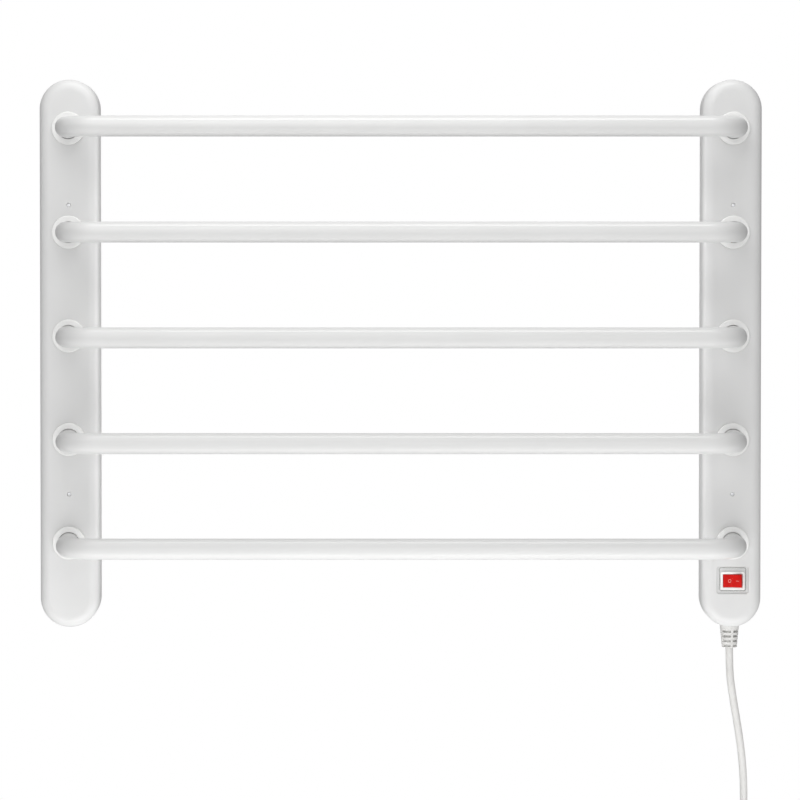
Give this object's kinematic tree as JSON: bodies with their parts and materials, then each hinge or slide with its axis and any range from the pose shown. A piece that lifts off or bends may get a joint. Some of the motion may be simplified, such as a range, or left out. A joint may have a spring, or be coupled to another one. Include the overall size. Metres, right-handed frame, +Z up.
{
  "type": "heated towel rail",
  "caption": "White wall-mounted electric towel rail: bent tubes between two rounded columns, with a red rocker switch and a mains cord.",
  "frame": {"origin": "on the wall, midway between the two columns, at half their height", "axes": "+X to the right as seen from the room, +Y into the wall, +Z up"},
  "size_m": [0.67, 0.096, 0.7256],
  "materials": {
    "white_enamel": "satin white powder coat",
    "tube_enamel": "satin white powder coat, slightly glossier",
    "collar_plastic": "satin white moulding",
    "zinc_steel": "zinc-plated steel",
    "switch_plastic": "satin white moulding",
    "rocker_plastic": "red moulding with pale marks",
    "boot_pvc": "clear soft PVC",
    "contact_copper": "copper alloy strip",
    "cord_pvc": "white flexible PVC",
    "terminal_plastic": "white nylon moulding",
    "nut_nylon": "natural nylon",
    "heater_silicone": "red-brown silicone insulation",
    "pin_nickel": "nickel-plated brass",
    "live_insulation": "brown wire insulation",
    "neutral_insulation": "blue wire insulation",
    "earth_insulation": "green and yellow wire insulation"
  },
  "bodies": {
    "rail": {"coil_tie": "terminal_plastic", "cord_clamp": "terminal_plastic", "cord_coil": "cord_pvc", "cord_tail": "cord_pvc", "earth_lead": "earth_insulation", "heating_cable": "heater_silicone", "left_back_plate": "white_enamel", "left_bracket_lower": "zinc_steel", "left_bracket_upper": "zinc_steel", "left_collar_1": "collar_plastic", "left_collar_2": "collar_plastic", "left_collar_3": "collar_plastic", "left_collar_4": "collar_plastic", "left_collar_5": "collar_plastic", "left_cover": "white_enamel", "left_lock_screw_lower": "zinc_steel", "left_lock_screw_upper": "zinc_steel", "left_nut_1": "nut_nylon", "left_nut_2": "nut_nylon", "left_nut_3": "nut_nylon", "left_nut_4": "nut_nylon", "left_nut_5": "nut_nylon", "live_lead": "live_insulation", "live_terminal": "contact_copper", "load_lead": "live_insulation", "load_terminal": "contact_copper", "neutral_lead": "neutral_insulation", "plug_body": "cord_pvc", "plug_pin_back": "pin_nickel", "plug_pin_front": "pin_nickel", "rail_tube_1": "tube_enamel", "rail_tube_2": "tube_enamel", "rail_tube_3": "tube_enamel", "rail_tube_4": "tube_enamel", "rail_tube_5": "tube_enamel", "return_lead": "neutral_insulation", "right_back_plate": "white_enamel", "right_bracket_lower": "zinc_steel", "right_bracket_upper": "zinc_steel", "right_collar_1": "collar_plastic", "right_collar_2": "collar_plastic", "right_collar_3": "collar_plastic", "right_collar_4": "collar_plastic", "right_collar_5": "collar_plastic", "right_cover": "white_enamel", "right_lock_screw_lower": "zinc_steel", "right_lock_screw_upper": "zinc_steel", "right_nut_1": "nut_nylon", "right_nut_2": "nut_nylon", "right_nut_3": "nut_nylon", "right_nut_4": "nut_nylon", "right_nut_5": "nut_nylon", "strain_relief": "cord_pvc", "supply_cord": "cord_pvc", "switch_boot": "boot_pvc", "switch_housing": "switch_plastic", "terminal_block": "terminal_plastic", "thermal_cutout": "zinc_steel"},
    "rocker": {"switch_rocker": "rocker_plastic"},
    "contact": {"switch_contact": "contact_copper"}
  },
  "joints": [
    {"name": "rocker_tilt", "type": "hinge", "parent": "rail", "child": "rocker", "pos_m": [0.308, -0.029, -0.2104], "axis": [0, 0, 1], "range_deg": [0, 20]},
    {"name": "contact_tilt", "type": "hinge", "parent": "rail", "child": "contact", "pos_m": [0.308, -0.0175, -0.2104], "axis": [0, 0, 1], "range_deg": [-14, 0]}
  ],
  "couplings": [
    {"joint": "contact_tilt", "follows": "rocker_tilt", "ratio": -0.7}
  ]
}
